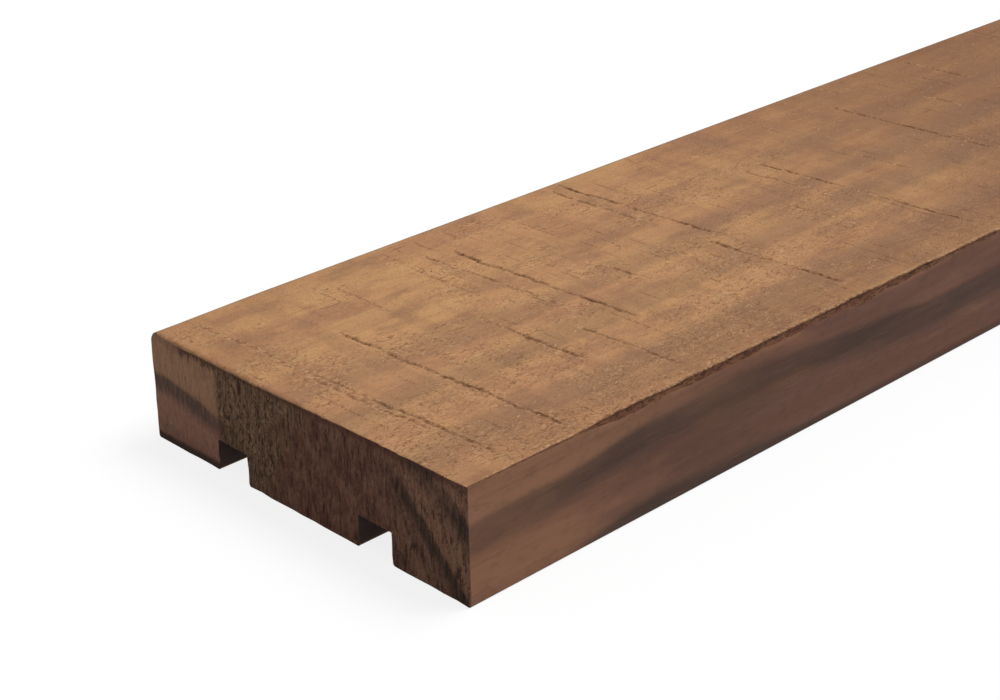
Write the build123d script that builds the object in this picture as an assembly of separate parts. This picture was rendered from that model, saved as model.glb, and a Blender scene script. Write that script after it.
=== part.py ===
from build123d import *
import os

# One length of solid timber weatherboard, lying on its back with the sawn weather face up.
# X runs along the length, Y across the width and Z up through the thickness, in millimetres.
# The origin is the middle of the back, on the plane that the three back lands share.

# Stock sizes
board_length = 1800.0
board_width = 90.0
board_thickness = 23.5

# Relief grooves along the back, one set in from each edge of the board
edge_land_width = 20.0
groove_width = 9.0
groove_depth = 6.6

# Arrises along the length
rounded_arris_radius = 2.6
sawn_arris_chamfer = 0.5
back_arris_radius = 0.5
groove_mouth_radius = 0.6


def blank():
    """The planed blank's section, standing on the plane of its back."""
    Rectangle(board_width, board_thickness, align=(Align.CENTER, Align.MIN))


def relief_grooves():
    """Two square grooves cut into the back, their outer walls one edge land in from the edges."""
    groove_offset = board_width / 2 - edge_land_width - groove_width / 2
    with Locations((-groove_offset, 0), (groove_offset, 0)):
        Rectangle(
            groove_width,
            groove_depth,
            align=(Align.CENTER, Align.MIN),
            mode=Mode.SUBTRACT,
        )


def ease_corners(profile):
    """Rounds the corners that a moulder eases, and leaves the floors of the grooves square."""
    front = profile.vertices().group_by(Axis.Y)[-1].sort_by(Axis.X)
    fillet(front[-1], rounded_arris_radius)
    front = profile.vertices().group_by(Axis.Y)[-1].sort_by(Axis.X)
    chamfer(front[0], sawn_arris_chamfer)
    back = profile.vertices().group_by(Axis.Y)[0].sort_by(Axis.X)
    fillet([back[0], back[-1]], back_arris_radius)
    back = profile.vertices().group_by(Axis.Y)[0].sort_by(Axis.X)
    fillet(back[1:-1], groove_mouth_radius)


def weatherboard():
    """The board: its moulded section carried along the whole length."""
    with BuildPart() as board:
        with BuildSketch(Plane.YZ) as profile:
            blank()
            relief_grooves()
            ease_corners(profile)
        extrude(amount=board_length / 2, both=True)
    return board.part


os.makedirs("parts", exist_ok=True)
export_step(weatherboard(), "parts/weatherboard.step")
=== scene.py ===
import math
from collections import namedtuple

import bpy
import numpy as np
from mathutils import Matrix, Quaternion, Vector
from mathutils.geometry import delaunay_2d_cdt


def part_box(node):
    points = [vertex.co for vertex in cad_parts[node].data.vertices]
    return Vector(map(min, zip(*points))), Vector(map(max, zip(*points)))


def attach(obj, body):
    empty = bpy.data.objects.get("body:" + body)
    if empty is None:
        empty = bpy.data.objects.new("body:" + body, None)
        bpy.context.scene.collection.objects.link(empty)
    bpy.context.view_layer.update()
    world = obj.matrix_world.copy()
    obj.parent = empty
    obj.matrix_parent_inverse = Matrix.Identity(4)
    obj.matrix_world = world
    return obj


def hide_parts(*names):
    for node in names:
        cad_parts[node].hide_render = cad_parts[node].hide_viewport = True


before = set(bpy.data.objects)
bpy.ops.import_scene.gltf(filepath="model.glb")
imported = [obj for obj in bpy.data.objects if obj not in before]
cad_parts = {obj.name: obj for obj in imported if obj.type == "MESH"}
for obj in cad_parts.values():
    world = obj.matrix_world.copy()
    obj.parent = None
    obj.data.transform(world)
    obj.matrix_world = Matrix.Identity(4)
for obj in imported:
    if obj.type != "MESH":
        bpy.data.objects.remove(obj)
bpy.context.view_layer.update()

# Camera, in metres, with the photograph's lens in pixels of its 1000 pixel width
camera_eye = Vector((-1.0927, -0.2586, 0.1840))
camera_direction = Vector((0.6194, 0.6585, -0.4274))
camera_roll = math.radians(-1.43)
focal_length_px = 2014.0
photo_width_px = 1000.0
sensor_width = 36.0

# The board's own sizes, in millimetres, with its box read from the frame
mm = 0.001
low, high = (Vector(corner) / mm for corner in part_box("weatherboard"))
shown_end = low.x
far_end = high.x
half_width = high.y
thickness = high.z
edge_land_width = 20.0
groove_width = 9.0
groove_depth = 6.6
rounded_arris_radius = 2.6
back_arris_radius = 0.5
groove_mouth_radius = 0.6

# How finely the board is meshed, in millimetres
close_length = 300.0
close_step = 1.15
scratch_step = 0.2
scratch_reach = 0.9
distant_step = 12.0
side_step = 6.0
face_step = 0.8

# The sawn weather face
saw_lean = 0.05
fuzz_depth = 0.22
scratch_half_width = 0.60
far_scratch_half_width = 0.44
far_scratch_start = 120.0
# The share of its depth that a scratch is cut into the mesh, and the depth from which it shows
# fully dark; that dark colour is partly painted shade, standing in for the depth left uncut
scratch_relief = 0.7
full_dark_depth = 0.36
Scratch = namedtuple("Scratch", "along start stop depth")
# The deepest scratches of the close length: the distance from the shown end at mid width, where
# each starts and stops across the width, and how deep it is
deep_scratches = [
    Scratch(9.9, 41, 6, 0.20),
    Scratch(9.9, 10, -42, 0.34),
    Scratch(8.4, 8, -27, 0.26),
    Scratch(25.0, 19, -43, 0.42),
    Scratch(47.3, 3, -26, 0.34),
    Scratch(57.3, -13, -41, 0.26),
    Scratch(62.6, 35, -8, 0.26),
    Scratch(68.1, 32, -21, 0.42),
    Scratch(83.2, 4, -7, 0.28),
    Scratch(92.9, 11, 5, 0.26),
    Scratch(98.0, 3, -6, 0.20),
    Scratch(107.4, 42, 13, 0.26),
    Scratch(111.5, 44, -3, 0.32),
    Scratch(107.3, -3, -40, 0.46),
    Scratch(135.2, -2, -27, 0.22),
    Scratch(145.8, 20, -9, 0.24),
    Scratch(151.8, 20, -40, 0.44),
    Scratch(171.2, 8, -12, 0.18),
    Scratch(195.6, 32, -16, 0.46),
    Scratch(206.0, 43, 33, 0.24),
    Scratch(217.6, 20, 7, 0.20),
    Scratch(238.5, 43, 18, 0.28),
]

# The torn arris between the weather face and the planed edge
torn_columns = 8
torn_width_drawn = 1.0
edge_fine_foot = 18.0
torn_drop_least = 0.4
torn_drop_most = 1.35
torn_width_share = 0.65

# The cross-cut ends
end_step_across = 0.5
end_step_up = 0.85
end_margin = 0.12
tear_depth = 0.5
clean_corner_start = half_width - edge_land_width - 0.5
corner_wear = 0.5
end_roll_length = 1.0
end_roll_drop = 0.7

# The fibres that the saw lifted on the weather face
fibre_spacing = 2.6
fibre_length = 1.5
fibre_half_width = 0.13
fibre_lift = 0.2


def scatter(seed, *cells):
    """A repeatable random value from -1 to 1 for each whole-numbered cell."""
    stir = np.uint64(0x9E3779B97F4A7C15)
    mixed = np.full(np.shape(cells[0]), seed + 1, dtype=np.uint64)
    for cell in cells:
        mixed = (mixed ^ cell.astype(np.int64).astype(np.uint64)) * stir
        mixed ^= mixed >> np.uint64(31)
    mixed *= stir
    return (mixed >> np.uint64(40)).astype(float) / 2**23 - 1


def noise(seed, *coordinates):
    """Smooth seeded noise from -1 to 1, with one cell for each unit of each coordinate."""
    floors = [np.floor(c) for c in coordinates]
    parts = [c - f for c, f in zip(coordinates, floors)]
    parts = [p * p * (3 - 2 * p) for p in parts]
    total = 0.0
    for corner in range(2 ** len(parts)):
        bits = [(corner >> k) & 1 for k in range(len(parts))]
        weight = 1.0
        for bit, part in zip(bits, parts):
            weight = weight * (part if bit else 1 - part)
        total = total + weight * scatter(seed, *[f + bit for f, bit in zip(floors, bits)])
    return total


def ramp(value, start, stop):
    """A smooth step from 0 at start to 1 at stop."""
    share = np.clip((value - start) / (stop - start), 0, 1)
    return share * share * (3 - 2 * share)


def end_distance(x):
    """How far a place along the board lies from the nearer end."""
    return np.minimum(x - shown_end, far_end - x)


def put_in_scene(name, data):
    """A new object in the scene."""
    thing = bpy.data.objects.new(name, data)
    bpy.context.scene.collection.objects.link(thing)
    return thing


# The moulded section, as a ring of columns that run along the board

Column = namedtuple("Column", "y z zone fine share")


def straight_columns(start, stop, count, zone, fine=False):
    """Columns in a straight row from start up to, but not at, stop."""
    rows = []
    for k in range(count):
        share = k / count
        y = start[0] + (stop[0] - start[0]) * share
        z = start[1] + (stop[1] - start[1]) * share
        rows.append(Column(y, z, zone, fine, share))
    return rows


def round_columns(centre, radius, start_degrees, stop_degrees, count, zone):
    """Columns round an arc, from its start up to, but not at, its stop."""
    rows = []
    for k in range(count):
        angle = math.radians(start_degrees + (stop_degrees - start_degrees) * k / count)
        y = centre[0] + radius * math.cos(angle)
        z = centre[1] + radius * math.sin(angle)
        rows.append(Column(y, z, zone, False, 0.0))
    return rows


def groove_columns(middle):
    """One relief groove, from its mouth nearer the sawn arris to its mouth nearer the rounded one."""
    near = middle - groove_width / 2
    far = middle + groove_width / 2
    eased = groove_mouth_radius
    rows = round_columns((near - eased, eased), eased, -90, 0, 4, "planed")
    rows += straight_columns((near, eased), (near, groove_depth), 4, "groove")
    rows += straight_columns((near, groove_depth), (far, groove_depth), 5, "groove")
    rows += straight_columns((far, groove_depth), (far, eased), 4, "groove")
    rows += round_columns((far + eased, eased), eased, 180, 270, 4, "planed")
    return rows


def face_columns():
    """The weather face from the rounded arris to the torn one, the torn arris, and the edge's top."""
    face_start = half_width - rounded_arris_radius
    face_stop = -half_width + torn_width_drawn
    count = round((face_start - face_stop) / face_step)
    edge_top = thickness - torn_drop_most
    rows = straight_columns((face_start, thickness), (face_stop, thickness), count, "sawn", True)
    rows += straight_columns((face_stop, thickness), (-half_width, edge_top), torn_columns, "torn", True)
    rows += straight_columns((-half_width, edge_top), (-half_width, edge_fine_foot), 4, "planed", True)
    return rows


def section_columns():
    """The whole ring: weather face, torn arris, planed edge, grooved back, far edge, rounded arris."""
    groove_middle = half_width - edge_land_width - groove_width / 2
    land_start = groove_middle + groove_width / 2 + groove_mouth_radius
    middle_land = groove_middle - groove_width / 2 - groove_mouth_radius
    eased = back_arris_radius
    far_edge_top = thickness - rounded_arris_radius
    corner = half_width - eased
    rows = face_columns()
    rows += straight_columns((-half_width, edge_fine_foot), (-half_width, eased), 9, "planed")
    rows += round_columns((-corner, eased), eased, 180, 270, 3, "planed")
    rows += straight_columns((-corner, 0), (-land_start, 0), 6, "planed")
    rows += groove_columns(-groove_middle)
    rows += straight_columns((-middle_land, 0), (middle_land, 0), 10, "planed")
    rows += groove_columns(groove_middle)
    rows += straight_columns((land_start, 0), (corner, 0), 6, "planed")
    rows += round_columns((corner, eased), eased, 270, 360, 3, "planed")
    rows += straight_columns((half_width, eased), (half_width, far_edge_top), 8, "planed")
    arris_centre = (half_width - rounded_arris_radius, far_edge_top)
    rows += round_columns(arris_centre, rounded_arris_radius, 0, 90, 7, "rounded")
    return rows


# Stations along the board, close together near the shown end and round each scratch


def board_stations():
    """Every station along the board, and which of them the coarser sides use too."""
    places = np.arange(0, close_length, close_step)
    clusters = []
    for scratch in deep_scratches:
        middle = scratch.along
        places = places[np.abs(places - middle) > scratch_reach]
        clusters.append(np.arange(middle - scratch_reach, middle + scratch_reach, scratch_step))
    clusters.append(np.array([0.12, 0.3, 0.55, 0.8]))
    kept = [0.0]
    for place in np.sort(np.concatenate([places] + clusters)):
        if place - kept[-1] > scratch_step * 0.5 and place < close_length - close_step / 2:
            kept.append(float(place))
    count = round((far_end - shown_end - close_length) / distant_step)
    distant = np.linspace(close_length, far_end - shown_end, count + 1)
    stations = np.array(kept + list(distant))
    coarse = [0]
    for i in range(1, len(stations)):
        if stations[i] - stations[coarse[-1]] >= side_step or i == len(stations) - 1:
            coarse.append(i)
    return stations + shown_end, coarse


def scratch_cut(x, y):
    """How deep the scratches cut at each place, and how dark they show, from 0 to 1."""
    cut = np.zeros_like(x)
    shade = np.zeros_like(x)
    for number, scratch in enumerate(deep_scratches):
        wander = 0.25 * noise(40 + number, y / 7.0) + 0.28 * noise(80 + number, y / 1.0)
        offset = np.abs(x - shown_end - (scratch.along - saw_lean * y + wander))
        half = scratch_half_width if scratch.along < far_scratch_start else far_scratch_half_width
        profile = np.clip(1 - (offset / half) ** 2, 0, 1)
        taper = ramp(y, scratch.stop, scratch.stop + 4) * (1 - ramp(y, scratch.start - 4, scratch.start))
        broken = 0.74 + 0.38 * noise(120 + number, y / 1.5) + 0.26 * noise(160 + number, y / 6.0)
        strength = np.clip(broken, 0.3, 1) * taper * profile
        # A scratch's darkness is partly painted shade, for the share of its depth not cut into the mesh
        darkness = min(1.0, scratch.depth / full_dark_depth) * half / scratch_half_width
        cut = np.maximum(cut, strength * scratch.depth * scratch_relief)
        shade = np.maximum(shade, strength * darkness)
    return cut, shade


def sawn_relief(x, y):
    """Depth of the sawn face below the board's full thickness."""
    near = 1 - ramp(x - shown_end, close_length - 30, close_length)
    ripple = 0.05 * noise(1, x / 2.8, y / 30.0) + 0.06 * noise(2, x / 11.0, y / 38.0)
    tufts = 0.06 * noise(3, x / 2.6, y / 1.9) + 0.04 * noise(4, x / 3.9, y / 3.1)
    grit = 0.03 * scatter(5, np.round(x * 8), np.round(y * 8))
    return np.clip(fuzz_depth + (ripple + tufts + grit) * near, 0.03, None)


def torn_sizes(x):
    """How far the torn arris drops down the edge, and how far it runs in over the face."""
    along = x - shown_end
    opening = 0.05 + 0.75 * ramp(along, 22, 40)
    closing = 1 - 0.6 * ramp(along, 112, 150)
    swell = 0.5 + 0.5 * noise(11, x / 46.0)
    shape = np.where(along < 200, opening * closing, swell)
    chips = 0.20 * noise(12, x / 3.3) + 0.12 * noise(13, x / 1.3)
    chips = chips * (0.35 + 0.65 * ramp(along, 22, 42))
    big_chip = 0.9 * np.exp(-(((along - 106.5) / 3.2) ** 4))
    drop = torn_drop_least + (torn_drop_most - torn_drop_least) * np.clip(shape, 0, 1)
    drop = np.clip((drop + chips + big_chip) * ramp(end_distance(x), -3, 1.5), 0.1, 2.9)
    width = np.clip(np.minimum(drop, 1.6) * torn_width_share + 0.08 * noise(14, x / 2.1), 0.1, None)
    return drop, width


def face_height(x, y, z, from_end, cut):
    """The height of the sawn face, with its relief, its scratches and the rolled arris at each end."""
    soft_start = ramp(half_width - rounded_arris_radius - y, 0, 2.5)
    z = z - np.maximum(sawn_relief(x, y) * soft_start, 0.02) - cut
    rolled = 1 - np.sqrt(1 - (1 - np.clip(from_end / end_roll_length, 0, 1)) ** 2)
    return z - end_roll_drop * rolled * (0.25 + 0.75 * ramp(y, -20, 15))


def torn_place(x, share, drop, width):
    """Where the torn arris lies, from the face at share 0 down to the planed edge at share 1."""
    ragged = 0.14 * noise(15, x / 2.0, share * 4) + 0.10 * noise(16, x / 4.5, share * 3)
    inward = np.clip(ragged + 0.1, 0, None) * np.minimum(share * 4, 1)
    inward = inward * (1 - share) * np.minimum(drop, 1)
    y = -half_width + width * (1 - share) ** 1.2 + inward
    torn_top = thickness - fuzz_depth
    z = torn_top - (drop - fuzz_depth).clip(0.05, None) * share - inward * 0.6
    return y, z


def end_wear(y, z):
    """How far the rim of each end is worn back."""
    wear = 0.10 + 0.10 * noise(21, y / 1.1, z / 1.1) + 0.05 * noise(22, y / 0.4, z / 0.4)
    return np.clip(wear, 0, None)


def board_points(columns, stations):
    """A point for each column and station, with how marked or torn the timber is there."""
    x_drawn = np.zeros((len(columns), 1)) + stations
    y_drawn = np.array([[c.y] for c in columns]) + np.zeros_like(x_drawn)
    share = np.array([[c.share] for c in columns]) + np.zeros_like(x_drawn)
    z = np.array([[c.z] for c in columns]) + np.zeros_like(x_drawn)
    from_end = end_distance(x_drawn)
    x = x_drawn - saw_lean * y_drawn * ramp(from_end, 0, 5)
    drop, width = torn_sizes(x)

    sawn = np.array([[c.zone == "sawn"] for c in columns])
    near_arris = ramp(-y_drawn, half_width - 8, half_width - 1)
    y = np.where(sawn, y_drawn + (width - torn_width_drawn) * near_arris, y_drawn)
    cut, shade = scratch_cut(x, y)
    z = np.where(sawn, face_height(x, y, z, from_end, cut), z)

    torn = np.array([[c.zone == "torn"] for c in columns])
    torn_y, torn_z = torn_place(x, share, drop, width)
    y = np.where(torn, torn_y, y)
    z = np.where(torn, torn_z, z)

    edge_top = np.array([[c.zone == "planed" and c.fine] for c in columns])
    z = np.where(edge_top, (thickness - drop) * (1 - share) + edge_fine_foot * share, z)

    worn_corner = np.array([[c.y > half_width - rounded_arris_radius - 3] for c in columns])
    wear_back = corner_wear * z / thickness * (1 - ramp(x - shown_end, 0, 26)) * ramp(y, 38, 44)
    y = np.where(worn_corner, y - wear_back, y)

    wear = end_wear(y, z)
    x = np.where(x_drawn == shown_end, x + wear, x)
    x = np.where(x_drawn == far_end, x - wear, x)
    torn_mark = ramp(drop, 0.3, 0.9) * (1 - 0.8 * share)
    mark = np.where(sawn, shade, np.where(torn, torn_mark, 0.0))
    return np.stack([x, y, z], -1), mark


def side_faces(columns, coarse, number):
    """Faces between each column and the next: quads, or wider faces where fine meets coarse."""
    faces = []
    zones = []
    for j, column in enumerate(columns):
        k = (j + 1) % len(columns)
        neighbour = columns[k]
        for a, b in zip(coarse[:-1], coarse[1:]):
            both_fine = column.fine and neighbour.fine
            spans = [(i, i + 1) for i in range(a, b)] if both_fine else [(a, b)]
            for s, t in spans:
                this_side = [number[j, i] for i in range(s, t + 1) if column.fine or i in (s, t)]
                next_side = [number[k, i] for i in range(s, t + 1) if neighbour.fine or i in (s, t)]
                faces.append(next_side + this_side[::-1])
                zones.append(column.zone)
    return faces, zones


def outline_distance(y, z, ring):
    """Distance from each place on an end to the nearest side of the section's outline."""
    start = ring[:, 1:]
    side = np.roll(start, -1, axis=0) - start
    offset = np.stack([y, z], -1)[:, None] - start
    share = np.clip((offset * side).sum(-1) / (side**2).sum(-1), 0, 1)
    return np.sqrt(((offset - share[..., None] * side) ** 2).sum(-1)).min(1)


def end_tear(y, z, clean_corner):
    """Depth of the torn end grain below the end's plane."""
    streak = 0.55 * noise(31, y / 0.8, z / 5.0) + 0.4 * noise(32, y / 0.5, z / 2.0)
    pits = np.clip(noise(33, y / 0.9, z / 1.4) - 0.3, 0, 1) * 0.9
    rough = tear_depth * np.clip(0.45 + 0.55 * streak + pits, 0.04, 1.6)
    if not clean_corner:
        return rough
    smooth = 0.08 + 0.03 * noise(34, y / 1.4, z / 3.0)
    under_top = 0.7 * ramp(z, thickness - 2.8, thickness - 1.6) * (1 - ramp(y, 38, 42))
    step = ramp(y, clean_corner_start - 0.4, clean_corner_start + 0.4)
    share = np.clip(1 - step + under_top, 0, 1)
    return smooth + (rough - smooth) * share


def end_surface(ring, inward, clean_corner, coarseness):
    """Fills one end inside its ring: points, the ring's place for each that lies on it, triangles."""
    across = np.arange(-half_width, half_width, end_step_across * coarseness)
    up = np.arange(0, thickness, end_step_up * coarseness)
    y, z = [spread.ravel() for spread in np.meshgrid(across, up)]
    row = np.round(z * 10)
    y = y + 0.4 * end_step_across * coarseness * scatter(51, np.round(y * 10), row)
    z = z + 0.4 * end_step_up * coarseness * scatter(52, np.round(y * 10), row)
    keep = outline_distance(y, z, ring) > end_margin
    outline = [Vector((p[1], p[2])) for p in ring]
    inner = [Vector(p) for p in zip(y[keep], z[keep])]
    loop = list(range(len(outline)))
    sides = list(zip(loop, loop[1:] + loop[:1]))
    made = delaunay_2d_cdt(outline + inner, sides, [loop], 1, 1e-5, True)
    flat = np.array([tuple(p) for p in made[0]])
    sources = made[3]
    triangles = [triangle for triangle, face in zip(made[2], made[5]) if face]
    depth = end_tear(flat[:, 0], flat[:, 1], clean_corner)
    depth = depth * ramp(outline_distance(flat[:, 0], flat[:, 1], ring), -0.2, 0.5)
    plane = shown_end if inward > 0 else far_end
    points = np.column_stack([plane + inward * depth, flat])
    on_ring = {}
    for place, source in enumerate(sources):
        own = [s for s in source if s < len(outline)]
        if own:
            on_ring[place] = own[0]
    return points, on_ring, triangles


surface_order = ["sawn", "torn", "planed", "groove", "end"]
surface_of_zone = {zone: number for number, zone in enumerate(surface_order)}
surface_of_zone["rounded"] = surface_of_zone["sawn"]


def board_shape():
    """The whole board: its points, how marked each is, its faces and the zone of each face."""
    columns = section_columns()
    stations, coarse = board_stations()
    grid, mark = board_points(columns, stations)
    number = np.full(mark.shape, -1, dtype=int)
    points = []
    marks = []
    for j, column in enumerate(columns):
        for i in range(len(stations)) if column.fine else coarse:
            number[j, i] = len(points)
            points.append(tuple(grid[j, i]))
            marks.append(float(mark[j, i]))
    faces, zones = side_faces(columns, coarse, number)
    for station, inward, clean_corner, coarseness in ((0, 1, True, 1.0), (-1, -1, False, 1.8)):
        spots, on_ring, triangles = end_surface(grid[:, station], inward, clean_corner, coarseness)
        place = {spot: int(number[own, station]) for spot, own in on_ring.items()}
        for triangle in triangles:
            for spot in triangle:
                if spot not in place:
                    place[spot] = len(points)
                    points.append(tuple(spots[spot]))
                    marks.append(0.0)
            corners = [place[spot] for spot in triangle]
            faces.append(corners[::-1] if inward > 0 else corners)
            zones.append("end")
    return points, marks, faces, zones


def build_board():
    """The board as one closed mesh, with a material for each kind of surface."""
    points, marks, faces, zones = board_shape()
    mesh = bpy.data.meshes.new("sawn_board")
    mesh.from_pydata([(x * mm, y * mm, z * mm) for x, y, z in points], [], faces)
    mesh.polygons.foreach_set("material_index", [surface_of_zone[zone] for zone in zones])
    mesh.attributes.new("mark", "FLOAT", "POINT").data.foreach_set("value", marks)
    mesh.shade_smooth()
    mesh.set_sharp_from_angle(angle=math.radians(38))
    for kind in surface_order:
        mesh.materials.append(surface_materials[kind])
    return put_in_scene("sawn_board", mesh)


def fibre_places():
    """Where the lifted fibres stand: a jittered grid, thinned out where the face is smoother."""
    across = np.arange(-half_width + 2.5, half_width - rounded_arris_radius - 1.0, fibre_spacing)
    along = np.arange(shown_end + 5.0, far_end - 5.0, fibre_spacing)
    x, y = [spread.ravel() for spread in np.meshgrid(along, across)]
    column = np.round(x * 4)
    row = np.round(y * 4)
    x = x + 0.9 * fibre_spacing * scatter(61, column, row)
    y = y + 0.9 * fibre_spacing * scatter(62, column, row)
    y = np.clip(y, -half_width + 1.8, half_width - rounded_arris_radius - 0.6)
    cover = 0.35 + 0.6 * noise(63, x / 22.0, y / 13.0) + 0.35 * ramp(-y, -25, 20)
    cover = cover * (1 - 0.4 * ramp(x - shown_end, 90, 230))
    keep = scatter(64, column, row) < cover * 1.6 - 1
    return x[keep], y[keep]


def fibre_slivers(x, y):
    """Thin closed slivers, bent sideways, with one tip held and one tip raised: points and faces."""
    index = np.arange(len(x))
    turn = 0.75 * scatter(71, index) + 0.5 * scatter(72, index) ** 3
    reach = fibre_length * (0.6 + 0.4 * scatter(73, index)) / 2
    half = fibre_half_width * (1.0 + 0.45 * scatter(74, index))
    bend = 0.3 * reach * scatter(75, index)
    lift = fibre_lift * (0.55 + 0.45 * scatter(76, index))
    along = np.stack([np.cos(turn), np.sin(turn)], -1)
    aside = np.stack([-along[:, 1], along[:, 0]], -1)
    middle = np.stack([x, y], -1)
    level = thickness - sawn_relief(x, y) - scratch_cut(x, y)[0]
    ceiling = thickness - 0.005
    spots = [
        (middle - along * reach[:, None], level - 0.06),
        (middle + aside * (bend + half)[:, None], level - 0.05),
        (middle + aside * (bend - half)[:, None], level - 0.05),
        (middle + aside * bend[:, None], level + lift * 0.6),
        (middle + along * reach[:, None], level + lift),
    ]
    rows = [np.column_stack([flat, np.minimum(height, ceiling)]) for flat, height in spots]
    pattern = np.array([(0, 3, 1), (0, 2, 3), (0, 1, 2), (4, 1, 3), (4, 3, 2), (4, 2, 1)])
    faces = pattern[None] + len(spots) * index[:, None, None]
    return np.stack(rows, 1).reshape(-1, 3) * mm, faces.reshape(-1, 3)


def build_fibres():
    """The lifted fibres as one mesh."""
    points, faces = fibre_slivers(*fibre_places())
    mesh = bpy.data.meshes.new("lifted_fibres")
    mesh.from_pydata(points.tolist(), [], faces.tolist())
    mesh.materials.append(fibre_material())
    return put_in_scene("lifted_fibres", mesh)


# Small helpers for drawing node trees


def add(tree, kind, sockets=None, **settings):
    """Adds a node, sets its options, and fills or joins its input sockets."""
    node = tree.nodes.new(kind)
    for name, value in settings.items():
        setattr(node, name, value)
    for name, value in (sockets or {}).items():
        if isinstance(value, bpy.types.NodeSocket):
            tree.links.new(value, node.inputs[name])
        else:
            node.inputs[name].default_value = value
    return node


def maths(tree, operation, a, b=0.0, c=0.0, clamp=False):
    """One sum on up to three values."""
    sockets = {0: a, 1: b, 2: c}
    return add(tree, "ShaderNodeMath", sockets, operation=operation, use_clamp=clamp).outputs[0]


def times(tree, first, *others):
    """The product of two or more values."""
    for other in others:
        first = maths(tree, "MULTIPLY", first, other)
    return first


def vector_maths(tree, operation, first, second):
    """One sum on two vectors."""
    return add(tree, "ShaderNodeVectorMath", {0: first, 1: second}, operation=operation).outputs[0]


def eased(tree, value, low_in, high_in, low_out=0.0, high_out=1.0):
    """Maps a value smoothly from one range to another, and holds it at the ends."""
    sockets = {"Value": value, "From Min": low_in, "From Max": high_in}
    sockets.update({"To Min": low_out, "To Max": high_out})
    node = add(tree, "ShaderNodeMapRange", sockets, interpolation_type="SMOOTHSTEP")
    return node.outputs["Result"]


def cloud(tree, position, cell, detail=2.0, roughness=0.5, distortion=0.0):
    """Noise from about 0 to 1 with cells of the given size in millimetres."""
    sized = vector_maths(tree, "MULTIPLY", position, tuple(1 / size for size in cell))
    sockets = {"Vector": sized, "Scale": 1.0, "Detail": detail}
    sockets.update({"Roughness": roughness, "Distortion": distortion})
    return add(tree, "ShaderNodeTexNoise", sockets).outputs[0]


def mixed(tree, factor, first, second):
    """Two colours mixed by a factor."""
    node = add(tree, "ShaderNodeMix", data_type="RGBA")
    for index, value in ((0, factor), (6, first), (7, second)):
        if isinstance(value, bpy.types.NodeSocket):
            tree.links.new(value, node.inputs[index])
        elif index:
            node.inputs[index].default_value = (*value, 1.0)
        else:
            node.inputs[index].default_value = value
    return node.outputs[2]


def painted(tree, colour, *layers):
    """A colour with others laid over it, each given as how much of it shows and what colour it is."""
    for cover, paint in layers:
        colour = mixed(tree, cover, colour, paint)
    return colour


def board_place(tree, position):
    """The X, Y and Z of a position, and its distance from the shown end."""
    place = add(tree, "ShaderNodeSeparateXYZ", {0: position}).outputs
    return place, maths(tree, "SUBTRACT", place["X"], shown_end)


def new_group(name, inputs, outputs):
    """An empty node group with named inputs and outputs, and its two end nodes."""
    group = bpy.data.node_groups.new(name, "ShaderNodeTree")
    for label, kind, value in inputs:
        socket = group.interface.new_socket(name=label, in_out="INPUT", socket_type=kind)
        if value is not None:
            socket.default_value = value
    for label in outputs:
        group.interface.new_socket(name=label, in_out="OUTPUT", socket_type="NodeSocketFloat")
    start = group.nodes.new("NodeGroupInput")
    end = group.nodes.new("NodeGroupOutput")
    return group, start, end


def place_group(tree, group, position, **values):
    """Puts a group into a material, with its position and its own values."""
    node = add(tree, "ShaderNodeGroup", node_tree=group)
    tree.links.new(position, node.inputs["Position"])
    for name, value in values.items():
        node.inputs[name.replace("_", " ")].default_value = value
    return node.outputs


# The growth rings, as they run through the whole board

pith_y = 52.5
pith_z = -75.0
Ring = namedtuple("Ring", "radius depth low_down on_top sway")
# The dark late wood of each ring, outwards from the pith: the radius of its crisp outer side, how
# far it fades inwards, how dark it is low down and near the weather face, and how far it sways in
# and out along the board
dark_rings = [
    Ring(80.5, 3.0, 0.2, 0.0, 0.4),
    Ring(91.0, 5.0, 1.0, 0.5, 0.4),
    Ring(99.8, 3.0, 0.3, 0.2, 0.4),
    Ring(106.0, 3.5, 0.2, 0.25, 0.6),
    Ring(113.3, 4.5, 0.35, 0.7, 0.8),
    Ring(120.8, 5.5, 0.35, 0.7, 0.9),
    Ring(124.1, 4.6, 1.0, 0.0, 1.1),
    Ring(132.2, 6.0, 0.1, 0.8, 0.6),
    Ring(134.8, 5.4, 1.0, 0.5, 1.4),
]


def ring_sway(group, position, along):
    """How far the rings sway in and out along the board: once in the close length, then slowly."""
    rise = eased(group, along, 14.0, 48.0, -1.0, 0.8)
    fall = eased(group, along, 68.0, 135.0, 0.8, -1.25)
    near_sway = maths(group, "MINIMUM", rise, fall)
    drift = maths(group, "MULTIPLY_ADD", cloud(group, position, (150, 200, 200), 1.0), 8.0, -4.0)
    distant = eased(group, along, close_length - 40, close_length + 90)
    return add(group, "ShaderNodeMix", {0: distant, 2: near_sway, 3: drift}, data_type="FLOAT").outputs[0]


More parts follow.
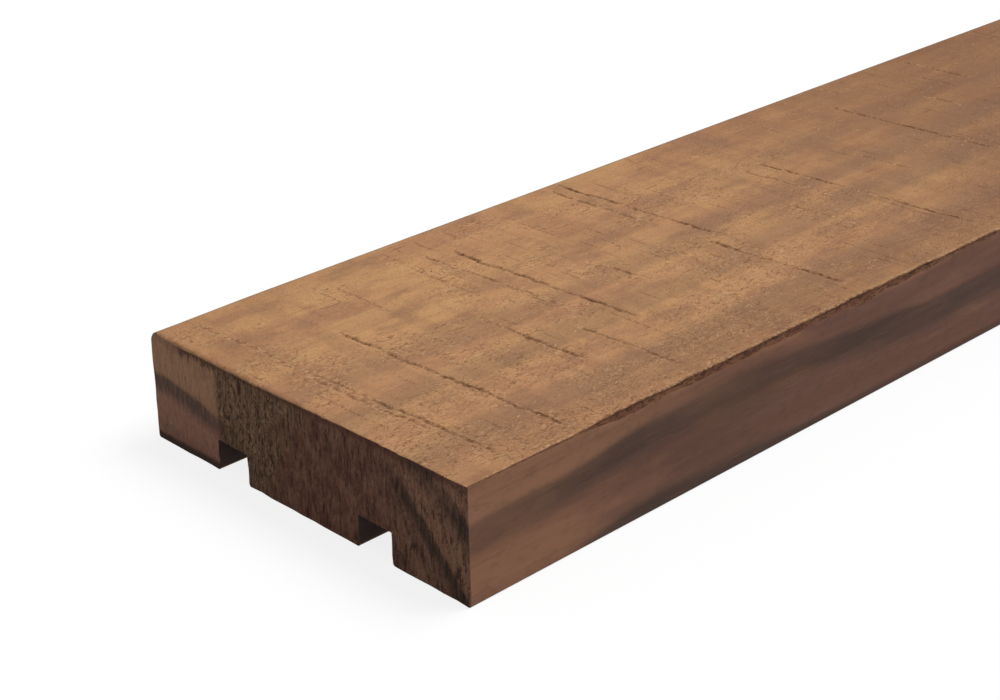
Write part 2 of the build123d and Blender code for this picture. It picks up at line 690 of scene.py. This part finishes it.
def growth_rings():
    """Dark late wood in rings round a pith that lies below the rounded side of the board."""
    group, start, end = new_group("growth_rings", [("Position", "NodeSocketVector", None)], ["Late Wood"])
    position = start.outputs["Position"]
    place, along = board_place(group, position)
    across = maths(group, "SUBTRACT", place["Y"], pith_y)
    up = maths(group, "SUBTRACT", place["Z"], pith_z)
    radius = maths(group, "SQRT", maths(group, "MULTIPLY_ADD", up, up, times(group, across, across)))
    wobble = maths(group, "MULTIPLY_ADD", cloud(group, position, (38, 9, 9), 2.0), 2.6, -1.3)
    steady = maths(group, "SUBTRACT", radius, wobble)
    sway = ring_sway(group, position, along)
    late = 0.0
    for ring in dark_rings:
        outer = maths(group, "MULTIPLY_ADD", sway, ring.sway, ring.radius)
        inwards = maths(group, "SUBTRACT", outer, steady)
        strength = eased(group, place["Z"], 15.0, 22.0, ring.low_down, ring.on_top)
        crisp = eased(group, inwards, -0.5, 0.9, 0.0, strength)
        soft = eased(group, inwards, ring.depth * 1.15, ring.depth * 0.45)
        late = maths(group, "MAXIMUM", times(group, crisp, soft), late)
    group.links.new(late, end.inputs["Late Wood"])
    return group


def long_grain():
    """Fine streaks and pores that run along the board."""
    inputs = [("Position", "NodeSocketVector", None)]
    group, start, end = new_group("long_grain", inputs, ["Streak", "Fibre"])
    position = start.outputs["Position"]
    group.links.new(cloud(group, position, (48, 1.7, 1.7), 3.0, 0.6), end.inputs["Streak"])
    group.links.new(cloud(group, position, (7, 0.35, 0.35), 2.0, 0.6), end.inputs["Fibre"])
    return group


def stray_marks():
    """Short straight marks of a given cell, of which only a share show."""
    inputs = [
        ("Position", "NodeSocketVector", None),
        ("Cell", "NodeSocketVector", (1.0, 1.0, 1.0)),
        ("Share", "NodeSocketFloat", 0.1),
    ]
    group, start, end = new_group("stray_marks", inputs, ["Mark"])
    position = start.outputs["Position"]
    shake = add(group, "ShaderNodeTexNoise", {"Vector": position, "Scale": 0.35, "Detail": 2.0})
    push = vector_maths(group, "MULTIPLY", shake.outputs["Color"], (0.6, 0.6, 0.6))
    moved = vector_maths(group, "ADD", position, push)
    cells = vector_maths(group, "DIVIDE", moved, start.outputs["Cell"])
    spots = add(group, "ShaderNodeTexVoronoi", {"Vector": cells, "Scale": 1.0, "Randomness": 0.9})
    pick = add(group, "ShaderNodeSeparateColor", {0: spots.outputs["Color"]}).outputs[0]
    shown = maths(group, "LESS_THAN", pick, start.outputs["Share"])
    shape = eased(group, spots.outputs["Distance"], 0.42, 0.2)
    group.links.new(times(group, shown, shape), end.inputs["Mark"])
    return group


shared = {"rings": growth_rings(), "grain": long_grain(), "marks": stray_marks()}


# The timber's colours, some with painted shade and painted highlight in them

sawn_warm = (0.539, 0.288, 0.126)
sawn_brown = (0.487, 0.246, 0.116)
sawn_far_warm = (0.283, 0.136, 0.065)
sawn_far_brown = (0.240, 0.113, 0.056)
sawn_corner = (0.350, 0.165, 0.074)
sawn_dark_patch = (0.250, 0.129, 0.075)
sawn_pale_patch = (0.560, 0.325, 0.150)
sawn_dark_row = (0.240, 0.122, 0.070)
sawn_late_wood = (0.222, 0.120, 0.073)
sawn_far_late_wood = (0.168, 0.088, 0.056)
sawn_streak = (0.28, 0.142, 0.073)
sawn_side_brown = (0.200, 0.094, 0.050)
# Partly painted shade where it darkens the rounded arris
rounded_brown_and_shade = (0.220, 0.105, 0.060)
# A painted highlight along the torn arris
torn_lip_highlight = (0.62, 0.38, 0.21)
sawn_grit = (0.24, 0.122, 0.060)
# Flecks: partly darker and paler fibres, partly painted shade in the bump's hollows and painted highlight
# on its tops
fleck_brown_and_shade = (0.175, 0.078, 0.036)
fleck_straw_and_highlight = (0.62, 0.39, 0.21)
# Pale scratch sides: partly paler fibres, partly a painted highlight
scratch_lip_and_highlight = (0.62, 0.37, 0.20)
# Dark of the scratches and marks: partly their own colour, partly painted shade
scratch_dark_and_shade = (0.135, 0.050, 0.018)

fibre_straw = (0.58, 0.36, 0.20)
fibre_brown = (0.34, 0.18, 0.095)

planed_light = (0.318, 0.152, 0.086)
planed_deep = (0.180, 0.082, 0.055)
planed_late_wood = (0.071, 0.037, 0.025)
planed_dark = (0.040, 0.022, 0.016)
# The groove walls' colours are painted shade: far darker than the planed timber, for the shade deep
# inside the grooves
groove_pale_painted_shade = (0.055, 0.030, 0.023)
groove_deep_painted_shade = (0.040, 0.022, 0.017)
groove_late_wood_painted_shade = (0.024, 0.014, 0.011)

torn_brown = (0.180, 0.086, 0.044)
torn_red_brown = (0.160, 0.066, 0.038)
torn_dark = (0.060, 0.026, 0.014)

clean_low = (0.345, 0.172, 0.119)
clean_high = (0.408, 0.222, 0.128)
clean_streak = (0.20, 0.098, 0.068)
clean_margin = (0.035, 0.022, 0.018)
clean_top = (0.078, 0.033, 0.022)
clean_ring = (0.094, 0.057, 0.047)
rough_deep = (0.140, 0.060, 0.040)
rough_brown = (0.195, 0.092, 0.062)
rough_outer = (0.268, 0.134, 0.084)
rough_furry = (0.188, 0.106, 0.061)
rough_pale_streak = (0.33, 0.185, 0.120)
rough_dark_streak = (0.042, 0.019, 0.014)
rough_pale_fur = (0.34, 0.210, 0.128)
rough_top = (0.088, 0.034, 0.023)
rough_pit = (0.022, 0.011, 0.009)
rough_ring = (0.035, 0.021, 0.017)


def start_material(name, roughness, specular):
    """A material with its shader and the position on the board in millimetres."""
    material = bpy.data.materials.new(name)
    material.use_nodes = True
    tree = material.node_tree
    shader = tree.nodes["Principled BSDF"]
    shader.inputs["Roughness"].default_value = roughness
    shader.inputs["Specular IOR Level"].default_value = specular
    place = add(tree, "ShaderNodeTexCoord").outputs["Object"]
    position = vector_maths(tree, "MULTIPLY", place, (1 / mm, 1 / mm, 1 / mm))
    return material, tree, shader, position


def finish_material(tree, shader, colour, heights):
    """Gives the shader its colour and a chain of bumps, each with a height in millimetres."""
    tree.links.new(colour, shader.inputs["Base Color"])
    normal = None
    for height, size in heights:
        node = add(tree, "ShaderNodeBump", {"Height": height, "Distance": size * mm, "Strength": 1.0})
        if normal:
            tree.links.new(normal, node.inputs["Normal"])
        normal = node.outputs["Normal"]
    tree.links.new(normal, shader.inputs["Normal"])


def strays(tree, position, cell, share):
    """Stray marks of one size."""
    return place_group(tree, shared["marks"], position, Cell=cell, Share=share)["Mark"]


def faint_marks(tree, position, along, dabs, broken):
    """Fine marks across the sawn face, with longer ones past the close length, where none is cut."""
    short = strays(tree, position, (0.9, 11.0, 30.0), 0.085)
    longer = strays(tree, position, (1.0, 34.0, 30.0), 0.045)
    fine = times(tree, maths(tree, "MAXIMUM", short, longer), times(tree, broken, 0.5))
    distant = strays(tree, position, (1.1, 60.0, 90.0), 0.05)
    beyond = eased(tree, along, close_length - 60, close_length - 20, 0.0, 0.8)
    distant = times(tree, distant, beyond, eased(tree, dabs, 0.40, 0.52, 0.35, 1.0))
    return maths(tree, "MAXIMUM", fine, distant)


def sawn_marks(tree, position, place, along):
    """How dark the sawn face's marks are, partly as painted shade, and where a scratch's side stands up
    pale, partly as a painted highlight.
    """
    dabs = cloud(tree, position, (0.9, 0.9, 0.9), 2.0, 0.6)
    broken = eased(tree, dabs, 0.42, 0.56)
    faint = faint_marks(tree, position, along, dabs, broken)
    strokes = times(tree, strays(tree, position, (7.0, 0.5, 5.0), 0.006), 0.6)
    cut = add(tree, "ShaderNodeAttribute", attribute_name="mark").outputs["Fac"]
    # The scratches' dark is partly painted shade in the hollows
    deep = maths(tree, "MULTIPLY", cut, maths(tree, "MULTIPLY_ADD", broken, 0.9, 0.4), clamp=True)
    # The pale side of a scratch: partly fibres standing up paler, partly a painted highlight where they
    # catch the light
    side = times(tree, eased(tree, cut, 0.02, 0.10), eased(tree, cut, 0.32, 0.14))
    side = times(tree, side, eased(tree, dabs, 0.54, 0.42, 0.0, 0.6))
    mark = maths(tree, "MAXIMUM", maths(tree, "MAXIMUM", faint, strokes), deep)
    flat_part = eased(tree, place["Y"], half_width - 2.0, half_width - 3.5)
    return times(tree, mark, flat_part), side


def sawn_ground(tree, position, place, along):
    """The warm brown of the sawn face: clouded, duller further along, and darker at one corner."""
    warmth = eased(tree, cloud(tree, position, (60, 10, 11), 3.0, 0.55), 0.42, 0.60)
    patches = cloud(tree, position, (15, 7, 7), 3.0, 0.6)
    rows = cloud(tree, position, (5, 34, 34), 2.0, 0.5)
    corner = times(tree, eased(tree, along, 26, 0, 0.0, 0.4), eased(tree, place["Y"], -5.0, 30.0))
    paler = times(tree, eased(tree, patches, 0.46, 0.34), eased(tree, along, 80, 250, 0.3, 0.1))
    far_colour = mixed(tree, warmth, sawn_far_warm, sawn_far_brown)
    return painted(
        tree,
        mixed(tree, warmth, sawn_warm, sawn_brown),
        (eased(tree, along, 80, 250, 0.0, 0.94), far_colour),
        (corner, sawn_corner),
        (eased(tree, patches, 0.47, 0.66, 0.0, 0.45), sawn_dark_patch),
        (paler, sawn_pale_patch),
        (eased(tree, rows, 0.48, 0.64, 0.0, 0.24), sawn_dark_row),
    )


def sawn_timber(tree, position, colour, along):
    """The rings and the grain, laid over the sawn face."""
    rings = place_group(tree, shared["rings"], position)
    grain = place_group(tree, shared["grain"], position)
    late = times(tree, rings["Late Wood"], eased(tree, along, 220, 330, 0.58, 0.75))
    late_wood = mixed(tree, eased(tree, along, 150, 300), sawn_late_wood, sawn_far_late_wood)
    streak = eased(tree, grain["Streak"], 0.5, 0.68, 0.0, 0.25)
    return painted(tree, colour, (late, late_wood), (streak, sawn_streak))


def sawn_sides(tree, colour, across, along):
    """The face's darker sides, its rounded arris darker partly as painted shade, and the torn arris's
    pale lip, a painted highlight.
    """
    sawn_side = times(tree, eased(tree, along, 40, 75, 0.5, 1.0), eased(tree, along, 230, 160, 0.4, 1.0))
    sawn_side = times(tree, sawn_side, eased(tree, across, -26.0, -38.0, 0.0, 0.42))
    rounded_side = times(tree, eased(tree, along, 90, 50), eased(tree, across, 29.0, 38.0, 0.0, 0.14))
    # Planed brown and painted shade: the rounded arris is darkened where it curves away from the light
    rounded = eased(tree, across, half_width - rounded_arris_radius, half_width - 1.0, 0.0, 0.75)
    # Painted highlight: a pale line along the torn arris, where its raised fibre edge catches the light
    lip = eased(tree, across, 1.9 - half_width, 1.1 - half_width, 0.0, 0.4)
    lip = times(tree, lip, eased(tree, along, 20, 45), eased(tree, along, 200, 120, 0.15, 1.0))
    return painted(
        tree,
        colour,
        (sawn_side, sawn_side_brown),
        (rounded_side, rounded_brown_and_shade),
        (rounded, rounded_brown_and_shade),
        (lip, torn_lip_highlight),
    )


def fleck_cover(tree, position, across, along):
    """How thickly flecks cover the face: in clusters, fewer further along and at the rounded side."""
    cover = cloud(tree, position, (17, 12, 20), 2.0)
    cover = maths(tree, "SUBTRACT", cover, eased(tree, across, -25.0, 20.0, -0.03, 0.05))
    spread = times(tree, eased(tree, across, 43.0, 39.0), eased(tree, along, 70, 210, 1.0, 0.5))
    return times(tree, eased(tree, cover, 0.42, 0.58, 0.25, 1.0), spread)


def sawn_material():
    """The matt sawn weather face, with its flecks, marks and soft darker bands."""
    material, tree, shader, position = start_material("sawn_weather_face", 0.9, 0.2)
    place, along = board_place(tree, position)
    cover = fleck_cover(tree, position, place["Y"], along)
    fleck = cloud(tree, position, (1.5, 0.8, 0.8), 3.0, 0.6, 1.6)
    speckle = cloud(tree, position, (0.7, 0.5, 0.5), 1.0, 0.6)
    mark, raised_side_and_highlight = sawn_marks(tree, position, place, along)
    colour = sawn_ground(tree, position, place, along)
    colour = sawn_timber(tree, position, colour, along)
    colour = sawn_sides(tree, colour, place["Y"], along)
    colour = painted(
        tree,
        colour,
        (times(tree, eased(tree, speckle, 0.5, 0.66, 0.0, 0.35), cover), sawn_grit),
        # Dark flecks lie in the bump's hollows and pale ones on its tops: partly painted shade and
        # painted highlight
        (times(tree, eased(tree, fleck, 0.55, 0.66, 0.0, 0.85), cover), fleck_brown_and_shade),
        (times(tree, eased(tree, fleck, 0.44, 0.34, 0.0, 0.42), cover), fleck_straw_and_highlight),
        # Pale scratch sides, partly a painted highlight
        (raised_side_and_highlight, scratch_lip_and_highlight),
        # Dark marks, partly painted shade in the scratches
        (times(tree, mark, 0.88), scratch_dark_and_shade),
    )
    raised = maths(tree, "SUBTRACT", 1.0, fleck)
    lines = cloud(tree, position, (0.5, 14.0, 14.0), 2.0)
    sunk = maths(tree, "SUBTRACT", 1.0, mark)
    heights = [(raised, 0.32), (speckle, 0.10), (lines, 0.10), (sunk, 0.15)]
    finish_material(tree, shader, colour, heights)
    return material


def fibre_material():
    """The lifted fibres: paler than the face, from straw to brown."""
    material, tree, shader, position = start_material("lifted_fibres", 0.85, 0.2)
    tone = eased(tree, cloud(tree, position, (3.0, 3.0, 3.0), 2.0), 0.38, 0.62)
    ridges = cloud(tree, position, (0.6, 0.1, 0.1), 1.0)
    finish_material(tree, shader, mixed(tree, tone, fibre_straw, fibre_brown), [(ridges, 0.03)])
    return material


def planed_tone(tree, position, height, along):
    """How deep the planed brown is: least near the face and near the shown end, also low down there."""
    tone = cloud(tree, position, (40, 8, 8), 2.0, 0.5)
    from_top = eased(tree, height, thickness - 2.0, thickness - 12.0, -0.10, 0.10)
    tone = maths(tree, "ADD", tone, from_top)
    tone = maths(tree, "ADD", tone, eased(tree, along, 8, 50, -0.15, 0.08))
    low_down = times(tree, eased(tree, height, 12.5, 8.5), eased(tree, along, 46, 14, 0.0, 0.14))
    return eased(tree, maths(tree, "SUBTRACT", tone, low_down), 0.40, 0.62)


def edge_foot(tree, place, along):
    """A thin dark line along the foot of each long edge, past the shown end."""
    outwards = maths(tree, "ABSOLUTE", place["Y"])
    outermost = eased(tree, outwards, half_width - 1.2, half_width - 0.4, 0.0, 0.65)
    return times(tree, eased(tree, place["Z"], 2.3, 0.9), eased(tree, along, 18, 45), outermost)


def planed_material(name, light, deep, late_wood):
    """Smooth planed timber, with rings as soft dark bands that are fainter at the shown end."""
    material, tree, shader, position = start_material(name, 0.68, 0.22)
    place, along = board_place(tree, position)
    rings = place_group(tree, shared["rings"], position)
    grain = place_group(tree, shared["grain"], position)
    mottle = cloud(tree, position, (2.6, 1.3, 1.3), 2.0, 0.6)
    clouded = eased(tree, cloud(tree, position, (26, 7, 7), 2.0), 0.36, 0.60, 0.76, 0.97)
    late = times(tree, clouded, eased(tree, along, 10, 38, 0.7, 1.0), rings["Late Wood"])
    dark_stretch = maths(tree, "MINIMUM", eased(tree, along, 20, 40), eased(tree, along, 95, 60))
    colour = painted(
        tree,
        mixed(tree, planed_tone(tree, position, place["Z"], along), light, deep),
        (eased(tree, grain["Streak"], 0.5, 0.72, 0.0, 0.35), deep),
        (late, late_wood),
        (edge_foot(tree, place, along), late_wood),
        (times(tree, dark_stretch, 0.17), planed_dark),
        (eased(tree, mottle, 0.5, 0.7, 0.0, 0.2), late_wood),
        (eased(tree, grain["Fibre"], 0.55, 0.75, 0.0, 0.2), light),
    )
    tree.links.new(eased(tree, grain["Streak"], 0.3, 0.7, 0.62, 0.74), shader.inputs["Roughness"])
    finish_material(tree, shader, colour, [(grain["Fibre"], 0.03)])
    return material


def torn_material():
    """The broken fibres along the sawn arris, darkest just under the face where most has torn away."""
    material, tree, shader, position = start_material("torn_arris", 0.92, 0.15)
    torn = add(tree, "ShaderNodeAttribute", attribute_name="mark").outputs["Fac"]
    ends = cloud(tree, position, (1.5, 0.8, 0.6), 3.0, 0.65, 0.8)
    patches = cloud(tree, position, (7.0, 3.0, 3.0), 2.0)
    tone = mixed(tree, eased(tree, patches, 0.42, 0.58), torn_brown, torn_red_brown)
    gaps = eased(tree, ends, 0.45, 0.60, -0.2, 0.5)
    dark = maths(tree, "MULTIPLY_ADD", torn, 0.68, gaps, clamp=True)
    finish_material(tree, shader, mixed(tree, dark, tone, torn_dark), [(ends, 0.35)])
    return material


def clean_corner_colour(tree, place, streaks, fur):
    """The smoother corner of the shown end, with its dark lower margin and streaked top."""
    height = place["Z"]
    margin = eased(tree, maths(tree, "ADD", height, streaks), 2.7, 1.5, 0.0, 0.9)
    top_line = maths(tree, "MULTIPLY_ADD", streaks, 5.0, height)
    top_line = maths(tree, "MULTIPLY_ADD", fur, 4.0, top_line)
    ragged = eased(tree, top_line, thickness + 1.6, thickness + 3.0)
    ragged = times(tree, ragged, eased(tree, place["Y"], 40.0, 33.0, 0.0, 0.9))
    return painted(
        tree,
        mixed(tree, eased(tree, height, 8.0, 16.0), clean_low, clean_high),
        (eased(tree, streaks, 0.46, 0.66, 0.0, 0.45), clean_streak),
        (margin, clean_margin),
        (ragged, clean_top),
    )


def torn_end_colour(tree, position, place, streaks, fur):
    """The torn part of the end: furry beside the clean corner, darker in the middle, browner beyond."""
    patches = cloud(tree, position, (10, 4, 6), 2.0, 0.5)
    edge = maths(tree, "MULTIPLY_ADD", patches, 26.0, place["Y"])
    edge = maths(tree, "MULTIPLY_ADD", place["Z"], 0.5, edge)
    furry = eased(tree, edge, 17.0, 30.0)
    outer_side = eased(tree, place["Y"], -20.0, -34.0)
    pale_streak = times(tree, eased(tree, streaks, 0.46, 0.36), eased(tree, furry, 0.0, 1.0, 0.4, 0.15))
    vivid = maths(tree, "MAXIMUM", furry, maths(tree, "MULTIPLY_ADD", outer_side, 0.25, 0.3))
    return painted(
        tree,
        mixed(tree, eased(tree, patches, 0.46, 0.60), rough_deep, rough_brown),
        (times(tree, outer_side, 0.8), rough_outer),
        (furry, rough_furry),
        (pale_streak, rough_pale_streak),
        (eased(tree, streaks, 0.53, 0.63, 0.0, 0.8), rough_dark_streak),
        (times(tree, eased(tree, fur, 0.53, 0.63, 0.0, 0.68), vivid), rough_pale_fur),
        (eased(tree, place["Z"], thickness - 2.4, thickness - 1.2, 0.0, 0.6), rough_top),
        (times(tree, eased(tree, fur, 0.46, 0.38, 0.0, 0.88), vivid), rough_pit),
    )


def end_material():
    """The cross-cut end: torn, dark and streaked, with one smoother corner on the shown end."""
    material, tree, shader, position = start_material("cross_cut_end", 0.92, 0.15)
    place, along = board_place(tree, position)
    rings = place_group(tree, shared["rings"], position)
    streaks = cloud(tree, position, (2.0, 0.8, 4.0), 3.0, 0.66, 0.4)
    fur = cloud(tree, position, (1.5, 0.7, 1.6), 3.0, 0.62, 1.3)
    edge = maths(tree, "MULTIPLY_ADD", streaks, 2.4, place["Y"])
    in_corner = eased(tree, edge, clean_corner_start + 0.5, clean_corner_start + 1.7)
    cleaner = times(tree, in_corner, maths(tree, "LESS_THAN", along, close_length))
    outer = eased(tree, maths(tree, "ABSOLUTE", place["Y"]), 18.0, 30.0, 0.15, 1.0)
    outer = times(tree, outer, eased(tree, streaks, 0.40, 0.56, 0.68, 0.92))
    rough = torn_end_colour(tree, position, place, streaks, fur)
    clean = clean_corner_colour(tree, place, streaks, fur)
    ring_colour = mixed(tree, cleaner, rough_ring, clean_ring)
    colour = painted(tree, rough, (cleaner, clean), (times(tree, rings["Late Wood"], outer), ring_colour))
    finish_material(tree, shader, colour, [(streaks, 0.45), (fur, 0.45)])
    return material


surface_materials = {
    "sawn": sawn_material(),
    "torn": torn_material(),
    "planed": planed_material("planed_timber", planed_light, planed_deep, planed_late_wood),
    # The groove walls get the darker colours above, which are painted shade
    "groove": planed_material("groove_walls_painted_shade", groove_pale_painted_shade, groove_deep_painted_shade, groove_late_wood_painted_shade),
    "end": end_material(),
}


# The floor, the light and the camera

white = (1.0, 1.0, 1.0, 1.0)
floor_reach = 30.0
floor_shadow_share = 0.17
floor_grey = (0.42, 0.42, 0.42, 1.0)
world_strength = 0.42
key_lamp_direction = Vector((0.40, -0.20, 0.90))
key_lamp_strength = 2.15
key_lamp_softness = math.radians(30)


def only_for_the_view(tree):
    """1 for the rays that show the background, and 0 for those that light the board."""
    rays = add(tree, "ShaderNodeLightPath").outputs
    seen = maths(tree, "MAXIMUM", rays["Is Camera Ray"], rays["Is Glossy Ray"])
    return maths(tree, "MAXIMUM", seen, rays["Is Transmission Ray"])


def floor_material():
    """Seen as white with the board's soft shadow on it, and pale grey where it lights the board."""
    material = bpy.data.materials.new("pale_floor")
    material.use_nodes = True
    tree = material.node_tree
    tree.nodes.remove(tree.nodes["Principled BSDF"])
    lit = add(tree, "ShaderNodeBsdfDiffuse", {"Color": white}).outputs[0]
    glow = add(tree, "ShaderNodeEmission", {"Color": white, "Strength": 1.0}).outputs[0]
    shown = add(tree, "ShaderNodeMixShader", {0: floor_shadow_share, 1: glow, 2: lit}).outputs[0]
    plain = add(tree, "ShaderNodeBsdfDiffuse", {"Color": floor_grey}).outputs[0]
    both = add(tree, "ShaderNodeMixShader", {0: only_for_the_view(tree), 1: plain, 2: shown})
    tree.links.new(both.outputs[0], tree.nodes["Material Output"].inputs["Surface"])
    return material


def lay_floor():
    """A plain pale floor, level with the board's back."""
    mesh = bpy.data.meshes.new("floor")
    corners = [(-1, -1), (1, -1), (1, 1), (-1, 1)]
    mesh.from_pydata([(x * floor_reach, y * floor_reach, 0.0) for x, y in corners], [], [(0, 1, 2, 3)])
    mesh.materials.append(floor_material())
    floor = put_in_scene("floor", mesh)


def light_world():
    """Even light from all round, and white where the camera looks past the floor."""
    world = bpy.data.worlds.new("studio")
    bpy.context.scene.world = world
    world.use_nodes = True
    tree = world.node_tree
    tree.nodes.clear()
    even = add(tree, "ShaderNodeBackground", {"Color": white, "Strength": world_strength}).outputs[0]
    seen = add(tree, "ShaderNodeBackground", {"Color": white, "Strength": 1.0}).outputs[0]
    both = add(tree, "ShaderNodeMixShader", {0: only_for_the_view(tree), 1: even, 2: seen})
    add(tree, "ShaderNodeOutputWorld", {"Surface": both.outputs[0]})


def hang_lamp():
    """One soft distant lamp, high up, a little towards the far end and the sawn arris."""
    lamp = bpy.data.lights.new("key", "SUN")
    lamp.energy = key_lamp_strength
    lamp.angle = key_lamp_softness
    holder = put_in_scene("key", lamp)
    holder.rotation_mode = "QUATERNION"
    holder.rotation_quaternion = key_lamp_direction.to_track_quat("Z", "Y")


def set_camera():
    """The photograph's viewpoint."""
    camera = bpy.data.cameras.new("camera")
    camera.sensor_width = sensor_width
    camera.lens = focal_length_px / photo_width_px * sensor_width
    camera.clip_start = 0.01
    camera.clip_end = 100.0
    holder = put_in_scene("camera", camera)
    holder.location = camera_eye
    holder.rotation_mode = "QUATERNION"
    facing = camera_direction.to_track_quat("-Z", "Y")
    holder.rotation_quaternion = facing @ Quaternion((0, 0, 1), camera_roll)
    bpy.context.scene.camera = holder


set_camera()
lay_floor()
light_world()
hang_lamp()
bpy.context.scene.view_settings.view_transform = "Standard"

board = build_board()
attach(board, "root")
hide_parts("weatherboard")

fibres = build_fibres()
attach(fibres, "root")
